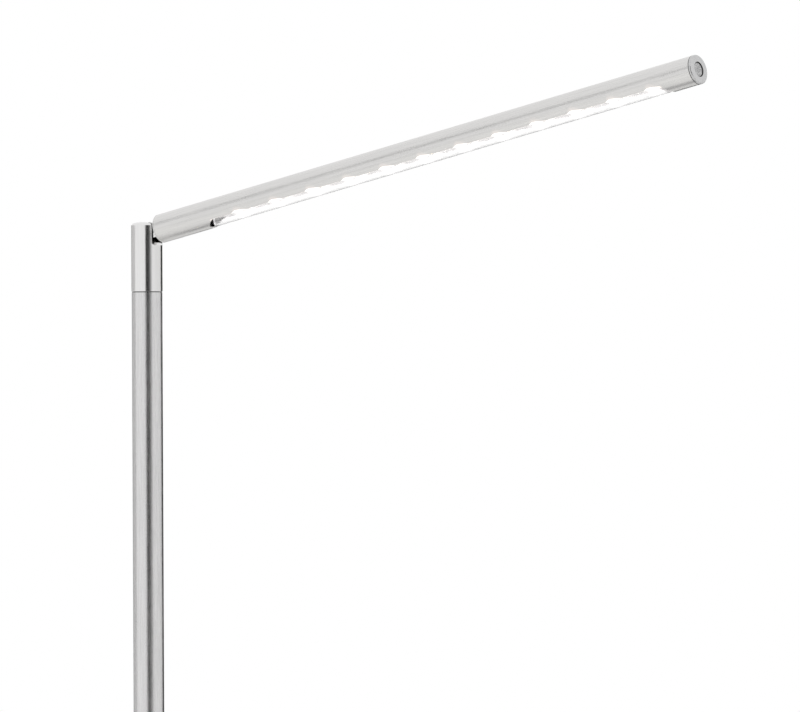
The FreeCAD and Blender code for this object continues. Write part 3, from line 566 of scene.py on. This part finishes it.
def makeHingePin():
    # its head has a slot for the driver
    face = hingePin["seat"] + hingePin["headHeight"]
    chamfer = hingePin["chamfer"]
    shank = turnPiece("pinTurned", [
        (nearAxis, -hingePin["end"]), (hingePin["tip"], -hingePin["end"]),
        (hingePin["radius"], -hingePin["end"] + chamfer), (hingePin["radius"], hingePin["seat"]),
        (hingePin["head"] - hingePin["headGap"], hingePin["seat"]), (hingePin["head"], face - chamfer),
        (hingePin["head"] - chamfer, face), (nearAxis, face)], sides=64, solid=True)
    combine(shank, barPiece("driverSlot", (-5, -hingePin["slotHalf"], face - hingePin["slotDepth"]),
                            (5, hingePin["slotHalf"], face + 1)))
    soften(shank, hingePin["soft"], limit=40)
    toBack = Matrix.Translation(pinPlace) @ Matrix.Rotation(math.radians(-90), 4, "X")
    bodies = frame["record"]["behaviour"]["bodies"]
    body = next(name for name, members in bodies.items() if "hinge_pin" in members)
    settle(shank, body, zincSteel, ["hinge_pin"], toBack)


makeHead()
makeHingePin()
print("head made")

# arm: knuckle, tube and grub screw
tube = {"radius": 11.75, "wall": 1.2, "face": 14.5, "flange": 1.5, "chamfer": 0.8, "edge": 0.2, "soft": 0.18,
        "end": 549.3, "windowStart": 66, "windowEnd": 525.7, "windowHalf": 9.95}
knuckle = {"plugEnd": 38, "plugChamfer": 0.5, "plugGap": 0.02, "tongueWidth": 12.2, "tongueRadius": 6.3,
           "leadStart": 7.5, "leadBore": 3, "leadMouth": 2.6, "soft": 0.12}
grub = {"place": 26, "radius": 2, "start": 3, "tip": 0.5, "recess": 0.4, "key": 1.0, "keyDepth": 1.4,
        "threadSteps": 16, "threadPitch": 0.4, "threadDepths": (0.3, 0.02),
        "neckDepth": 0.05, "neckStart": 1.2, "neckEnd": 0.2, "topChamfer": 0.3}


def makeKnuckle():
    inside = tube["radius"] - tube["wall"] - knuckle["plugGap"]
    behind = tube["face"] + tube["flange"]
    chamfer = knuckle["plugChamfer"]
    plug = turnPiece("knuckleTurned", [
        (nearAxis, tube["face"]), (tube["radius"] - tube["chamfer"], tube["face"]),
        (tube["radius"], tube["face"] + tube["chamfer"]), (tube["radius"], behind), (inside, behind),
        (inside, knuckle["plugEnd"] - chamfer), (inside - chamfer, knuckle["plugEnd"]),
        (nearAxis, knuckle["plugEnd"])], sides=128, solid=True)
    plug.data.transform(upToX)
    # the tongue: a round-ended bar, turned on its side
    half = knuckle["tongueWidth"] / 2
    root = tube["face"] + 1
    tongue = longRound("tongue", -knuckle["tongueRadius"], root + knuckle["tongueRadius"],
                       knuckle["tongueRadius"], -half, half)
    tongue.data.transform(Matrix.Rotation(math.radians(90), 4, "X"))
    combine(tongue, barPiece("tongueEnd", (root, -20, -20), (40, 20, 20)))
    combine(plug, tongue, "UNION")
    mouthPlace = knuckle["leadStart"] + knuckle["leadBore"]
    combine(plug, rodPiece("pinHole", hingePin["bore"], (0, -20, 0), (0, 20, 0)))
    combine(plug, rodPiece("leadHole", knuckle["leadBore"], (knuckle["leadStart"], 0, 0), (60, 0, 0)))
    combine(plug, rodPiece("leadMouth", knuckle["leadMouth"], (mouthPlace, 0, -20), (mouthPlace, 0, 0)))
    combine(plug, rodPiece("grubHole", grub["radius"], (grub["place"], 0, 1), (grub["place"], 0, 20)))
    soften(plug, knuckle["soft"], limit=40)
    settle(plug, "arm", headSteel, ["arm_knuckle"], armPlace)


def makeTube():
    inside = tube["radius"] - tube["wall"]
    start = tube["face"] + tube["flange"]
    sleeve = turnPiece("armSleeve", [
        (inside, start), (tube["radius"] - tube["edge"], start), (tube["radius"], start + tube["edge"]),
        (tube["radius"], tube["end"]), (inside, tube["end"]), (inside, start)], sides=160)
    sleeve.data.transform(upToX)
    combine(sleeve, longRound("window", tube["windowStart"], tube["windowEnd"], tube["windowHalf"], -20, 0))
    combine(sleeve, rodPiece("grubWay", grub["radius"], (grub["place"], 0, 2), (grub["place"], 0, 20)))
    soften(sleeve, tube["soft"], limit=50)
    settle(sleeve, "arm", armMetalPaintedGlow, ["arm_tube"], armPlace)


def makeGrubScrew():
    top = tube["radius"] - grub["recess"]
    neck = grub["radius"] - grub["neckDepth"]
    turns = [(nearAxis, grub["start"]), (grub["radius"] - grub["tip"], grub["start"])]
    for number in range(grub["threadSteps"]):
        turns.append((grub["radius"] - grub["threadDepths"][number % 2],
                      grub["start"] + (number + 1) * grub["threadPitch"]))
    turns += [(neck, top - grub["neckStart"]), (neck, top - grub["neckEnd"]),
              (grub["radius"] - grub["topChamfer"], top), (nearAxis, top)]
    screw = turnPiece("grubTurned", turns, sides=48, solid=True)
    combine(screw, rodPiece("keyHole", grub["key"], (0, 0, top - grub["keyDepth"]), (0, 0, top + 1), sides=6))
    screw.data.transform(Matrix.Translation((grub["place"] * mm, 0, 0)))
    settle(screw, "arm", zincSteel, ["tube_grub_screw"], armPlace)


makeKnuckle()
makeTube()
makeGrubScrew()
print("arm made")

# light engine: LEDs, cups and lens
led = {"side": 3.6, "top": 0.3, "height": 1, "dome": 1.5, "domeDrop": 0.55, "edge": 0.25}
cups = {"start": 71, "end": 526, "width": 18.4, "bottom": -4.5, "mouth": 8.2, "taper": 42, "sides": 24,
        "overcut": 0.5, "edge": 0.12}
lens = {"radius": 11.1, "wall": 1.5, "gap": 0.2, "endGap": 4, "axisHole": 0.4, "topGap": 0.05, "edge": 0.15}


def makeLeds():
    half = led["side"] / 2
    low = led["top"] - led["height"]
    first = ledRow["first"]
    package = barPiece("ledPackages", (first - half, -half, low), (first + half, half, led["top"]))
    soften(package, led["edge"])
    makeActive(package)
    bpy.ops.object.mode_set(mode="EDIT")
    bpy.ops.mesh.select_all(action="DESELECT")
    domePlace = (first * mm, 0, low * mm)
    bpy.ops.mesh.primitive_uv_sphere_add(segments=32, ring_count=16, radius=led["dome"] * mm,
                                         location=domePlace)
    bpy.ops.transform.resize(value=(1, 1, led["domeDrop"] / led["dome"]), center_override=domePlace)
    bpy.ops.object.mode_set(mode="OBJECT")
    repeatPerLed(package)
    settle(package, "arm", ledYellow, ["leds"], armPlace)


def makeCups():
    strip = barPiece("cupStrip", (cups["start"], -cups["width"] / 2, cups["bottom"]),
                     (cups["end"], cups["width"] / 2, led["top"]))
    # each cup is cut by a cone that goes a little past both faces
    slope = math.tan(math.radians(cups["taper"]))
    throat = cups["mouth"] - (led["top"] - cups["bottom"]) * slope
    low = cups["bottom"] - cups["overcut"]
    high = led["top"] + cups["overcut"]
    cone = turnPiece("cup", [(cups["mouth"] + cups["overcut"] * slope, low),
                             (throat - cups["overcut"] * slope, high)], sides=cups["sides"])
    bpy.ops.object.mode_set(mode="EDIT")
    for height in (low, high):
        pick(cone, lambda place: abs(place.z - height * mm) < 1e-6)
        bpy.ops.mesh.edge_face_add()
    bpy.ops.mesh.select_all(action="SELECT")
    bpy.ops.mesh.normals_make_consistent(inside=False)
    bpy.ops.object.mode_set(mode="OBJECT")
    cone.data.transform(Matrix.Translation((ledRow["first"] * mm, 0, 0)))
    repeatPerLed(cone)
    combine(strip, cone)
    soften(strip, cups["edge"], limit=25)
    settle(strip, "arm", cupWhite, ["reflector"], armPlace, smooth=12)


def makeLens():
    # a closed hollow rod, of which the window's shape keeps a slice
    start = tube["windowStart"] + lens["endGap"]
    end = tube["windowEnd"] - lens["endGap"]
    inner = lens["radius"] - lens["wall"]
    innerStart, innerEnd = start + lens["wall"], end - lens["wall"]
    shell = turnPiece("lensBar", [
        (inner, innerStart), (inner, innerEnd), (lens["axisHole"], innerEnd), (lens["axisHole"], end),
        (lens["radius"], end), (lens["radius"], start), (lens["axisHole"], start),
        (lens["axisHole"], innerStart), (inner, innerStart)], sides=160)
    shell.data.transform(upToX)
    plan = longRound("lensPlan", start, end, tube["windowHalf"] - lens["gap"], -20,
                     cups["bottom"] - lens["topGap"])
    combine(shell, plan, "INTERSECT")
    soften(shell, lens["edge"], limit=50)
    settle(shell, "arm", lensClearPaintedGlow, ["lens"], armPlace)


makeLeds()
makeCups()
makeLens()
print("light engine made")

# end cap and push button
cap = {"groove": 0.5, "grooveDepth": 0.5, "rim": 1.99, "round": 1, "depth": 13, "room": 7.6, "faceWall": 1.8,
       "mouthGap": 0.6, "edge": 0.12, "jointSlack": 0.05, "mouthSlack": 0.1}
button = {"radius": 5.5, "recess": 0.4, "crown": 0.3, "edge": 0.25, "side": 0.3, "flange": 7, "flangeHeight": 1,
          "flangeGap": 0.15, "stem": 2, "stemEnd": 541.95, "stemChamfer": 0.2, "soft": 0.04}
mark = {"radius": 2.1, "width": 0.28, "depth": 0.24, "gapHalf": 0.55, "barStart": 0.9, "barOver": 0.3}
capFace = tube["end"] + cap["groove"] + cap["rim"]


def makeCap():
    neck = tube["radius"] - tube["wall"] - knuckle["plugGap"]
    foot = tube["end"] - cap["depth"]
    joint = tube["end"] + cap["groove"]
    grooved = tube["radius"] - cap["grooveDepth"]
    mouth = button["radius"] + cap["mouthGap"]
    outline = [(cap["room"], foot), (neck, foot), (neck, tube["end"]), (grooved, tube["end"]), (grooved, joint),
               (tube["radius"], joint), (tube["radius"], capFace - cap["round"])]
    roundedTo(outline, (tube["radius"] - cap["round"], capFace), 6, outward=False)
    outline += [(mouth, capFace), (mouth, capFace - cap["faceWall"]), (cap["room"], capFace - cap["faceWall"]),
                (cap["room"], foot)]
    ring = turnPiece("capRing", outline, sides=128)
    soften(ring, cap["edge"], limit=50)
    settle(ring, "arm", capMetal, ["end_cap"])
    # the joint behind the rim and the wall round the button take the dark finish as painted shade in these
    # recesses
    ring.data.materials.append(darkBearingAndPaintedShade)
    for face in ring.data.polygons:
        out, height = face.center.xy.length / mm, face.center.z / mm
        inJoint = out < tube["radius"] - cap["jointSlack"] and tube["end"] < height < joint
        inMouth = out < mouth + cap["mouthSlack"] and height < capFace - cap["mouthSlack"]
        if inJoint or inMouth:
            face.material_index = 1
    ring.data.transform(alongArm)


def makeButton():
    flange = capFace - cap["faceWall"] - button["flangeGap"]
    top = capFace - button["recess"]
    low = top - button["crown"]
    rim = button["radius"] - button["edge"]
    under = flange - button["flangeHeight"]
    outline = [(nearAxis, button["stemEnd"]), (button["stem"] - button["stemChamfer"], button["stemEnd"]),
               (button["stem"], button["stemEnd"] + button["stemChamfer"]), (button["stem"], under),
               (button["flange"], under), (button["flange"], flange), (button["radius"], flange),
               (button["radius"], low - button["side"]), (rim, low)]
    outline += crownStations(rim, low, top, 6)[1:]
    outline += [(nearAxis, top)]
    key = turnPiece("buttonKey", outline, sides=96, solid=True)
    # a plain ring with a bar across its gap, sunk into the face
    floor = top - mark["depth"]
    near = mark["radius"] - mark["width"]
    ring = turnPiece("markRing", [(near, floor), (mark["radius"], floor), (mark["radius"], top + 1),
                                  (near, top + 1), (near, floor)], sides=64)
    combine(ring, barPiece("markGap", (-5, -mark["gapHalf"], top - 2), (0, mark["gapHalf"], top + 2)))
    bar = barPiece("markBar", (-mark["radius"] - mark["barOver"], -mark["width"] / 2, floor),
                   (-mark["barStart"], mark["width"] / 2, top + 1))
    combine(key, ring)
    combine(key, bar)
    soften(key, button["soft"], segments=1, limit=50)
    settle(key, "button", buttonGrey, ["push_button"], alongArm)


makeCap()
makeButton()
print("cap and button made")

# stage: floor, cards that only polished metal mirrors, lamp, world and camera, in metres
studio = {"floorRadius": 7.5, "floorRim": 0.6, "floorColour": (0.9, 0.9, 0.89), "floorMottle": 0.985,
          "floorFade": (4.5, 7.4), "world": 0.85, "keyPower": 60, "keySize": 2.4,
          "keyFront": 2.5, "keyLeft": 2.2, "keyHeight": 3.4, "keyAim": 1.1}
# each card: its two sides in degrees from the camera's direction, how far, how high and how light it is
cards = {"foot": 0.001, "fade": (0.02, 0.65), "mottle": 1.1,
         "sides": [(-9, 8, 2.2, 2.7, 0.01), (8, 20, 2.2, 2.7, 0.04), (20, 28, 2.2, 2.7, 0.2),
                   (28, 37, 2.2, 2.7, 0.5), (37, 126, 2.2, 1.5, 0.84), (126, 178, 1.6, 1.36, 0.01),
                   (-172, -146, 1.6, 1.36, 0.35), (-146, -96, 1.6, 1.36, 0.66)]}
desk = {"left": -1.0, "right": 0.4, "near": -0.15, "far": 0.45, "height": 0.004, "edge": 0.12, "grey": 0.4}
hood = {"ends": [(-1.7, 47), (-0.6, 21)], "far": 2.2, "half": 7, "grey": 0.5}
view = {"turn": 35.03, "far": 6.9375, "aside": 0.2064, "below": 0.1015, "roll": -0.263, "lens": 382.2}

cameraTurn = math.radians(view["turn"])
towardCamera = Vector((math.sin(cameraTurn), -math.cos(cameraTurn), 0))
cameraRight = Vector((math.cos(cameraTurn), math.sin(cameraTurn), 0))
up = Vector((0, 0, 1))


def makeFloor():
    bpy.ops.object.select_all(action="DESELECT")
    bpy.ops.mesh.primitive_circle_add(vertices=96, radius=studio["floorRadius"], fill_type="NGON")
    floor = named("floor")
    bpy.ops.object.mode_set(mode="EDIT")
    bpy.ops.mesh.select_all(action="SELECT")
    bpy.ops.mesh.inset(thickness=studio["floorRim"])
    bpy.ops.object.mode_set(mode="OBJECT")
    finish, tree, shader = newFinish("floorPaint", Roughness=0.7)
    spots = grain(tree, ownPlace(tree), stretch=(1, 1, 1), scale=3)
    light = studio["floorColour"]
    dark = tuple(part * studio["floorMottle"] for part in light)
    tree.links.new(tinted(tree, spots, dark, light), shader.inputs["Base Color"])
    # the floor passes into the white behind it
    apart = addNode(tree, "ShaderNodeVectorMath", {"operation": "LENGTH"})
    tree.links.new(ownPlace(tree), apart.inputs[0])
    tree.links.new(eased(tree, apart.outputs["Value"], *studio["floorFade"], 1, 0), shader.inputs["Alpha"])
    floor.data.materials.append(finish)


def cardCloth(name, grey, spread):
    # a grey that passes into the floor's shade where the spread falls to 0
    finish, tree, shader = newFinish(name, Roughness=0.9)
    spots = grain(tree, ownPlace(tree), stretch=(1, 1, 1), scale=40)
    cloth = addNode(tree, "ShaderNodeMix", {"data_type": "RGBA"}, Factor=spread(tree))
    cloth.inputs[6].default_value = (*studio["floorColour"], 1)
    tree.links.new(tinted(tree, spots, (grey,) * 3, (grey * cards["mottle"],) * 3), cloth.inputs[7])
    tree.links.new(cloth.outputs[2], shader.inputs["Base Color"])
    return finish


def aboveFloor(tree):
    place = addNode(tree, "ShaderNodeSeparateXYZ", Vector=ownPlace(tree))
    return eased(tree, place.outputs["Z"], *cards["fade"], 0, 1)


def withinDesk(tree):
    place = addNode(tree, "ShaderNodeSeparateXYZ", Vector=ownPlace(tree))
    edge = desk["edge"]
    inside = 1.0
    for axis, low, high in (("X", "left", "right"), ("Y", "near", "far")):
        for side, begin, cease in ((desk[low], 0, 1), (desk[high], 1, 0)):
            step = eased(tree, place.outputs[axis], side - edge, side + edge, begin, cease)
            inside = reckon(tree, "MULTIPLY", inside, step)
    return inside


def makeCard(name, corners, grey, spread=aboveFloor):
    # a flat card between four corners, which only mirrors and gloss see
    bpy.ops.object.select_all(action="DESELECT")
    bpy.ops.mesh.primitive_plane_add(size=1)
    card = named(name)
    for vertex, corner in zip(card.data.vertices, corners):
        vertex.co = corner
    card.data.materials.append(cardCloth(name + "Cloth", grey, spread))
    card.visible_camera = False
    card.visible_diffuse = False
    card.visible_shadow = False
    card.visible_transmission = False


def makeCards():
    # upright cards round the post, for the stripes in its polish
    for number, (first, last, far, top, grey) in enumerate(cards["sides"]):
        turns = [math.radians(side) for side in (first, last)]
        spots = [(towardCamera * math.cos(turn) + cameraRight * math.sin(turn)) * far for turn in turns]
        corners = [spot + up * level for level in (cards["foot"], top) for spot in spots]
        makeCard("card%d" % number, corners, grey)
    # a level card with soft edges under the arm, as a desk would be
    wide = [desk["left"] - desk["edge"], desk["right"] + desk["edge"]]
    deep = [desk["near"] - desk["edge"], desk["far"] + desk["edge"]]
    corners = [Vector((x, y, desk["height"])) for y in deep for x in wide]
    makeCard("deskCard", corners, desk["grey"], withinDesk)
    # a narrow strip in front of the arm and above it, for the soft line along its face
    corners = []
    for side in (-1, 1):
        for out, rise in hood["ends"]:
            turn = math.radians(rise + side * hood["half"])
            aside, over = -math.cos(turn) * hood["far"], math.sin(turn) * hood["far"]
            corners.append(armPlace @ Vector((out, aside, over)))
    makeCard("hoodCard", corners, hood["grey"])


def makeLamp():
    bpy.ops.object.light_add(type="AREA")
    key = bpy.context.object
    key.name = "keyLamp"
    key.data.energy = studio["keyPower"]
    key.data.size = studio["keySize"]
    key.visible_glossy = False
    key.location = (towardCamera * studio["keyFront"] - cameraRight * studio["keyLeft"]
                    + up * studio["keyHeight"])
    key.rotation_euler = (up * studio["keyAim"] - key.location).to_track_quat("-Z", "Y").to_euler()


def makeWorld():
    # full white where the camera, gloss and clear pieces see it, a little less as light
    world = bpy.data.worlds.new("studioWhite")
    scene.world = world
    world.use_nodes = True
    tree = world.node_tree
    ground = tree.nodes["Background"]
    ground.inputs["Color"].default_value = (1, 1, 1, 1)
    ray = addNode(tree, "ShaderNodeLightPath").outputs
    seen = reckon(tree, "MAXIMUM", ray["Is Camera Ray"], ray["Is Transmission Ray"])
    seen = reckon(tree, "MAXIMUM", seen, ray["Is Glossy Ray"])
    level = addNode(tree, "ShaderNodeMapRange", {"To Min": studio["world"], "To Max": 1.0}, Value=seen)
    tree.links.new(level.outputs["Result"], ground.inputs["Strength"])


def makeCamera():
    optics = bpy.data.cameras.new("camera")
    camera = bpy.data.objects.new("camera", optics)
    scene.collection.objects.link(camera)
    optics.lens = view["lens"]
    optics.sensor_width = 36
    optics.clip_end = 100
    place = pinPlace + cameraRight * view["aside"] - up * view["below"] + towardCamera * view["far"]
    roll = math.radians(view["roll"])
    across = cameraRight * math.cos(roll) + up * math.sin(roll)
    upward = up * math.cos(roll) - cameraRight * math.sin(roll)
    turned = Matrix((across, upward, towardCamera)).transposed().to_4x4()
    camera.matrix_world = Matrix.Translation(place) @ turned
    scene.camera = camera


makeFloor()
makeCards()
makeLamp()
makeWorld()
makeCamera()
scene.view_settings.view_transform = "Standard"
print("stage set")
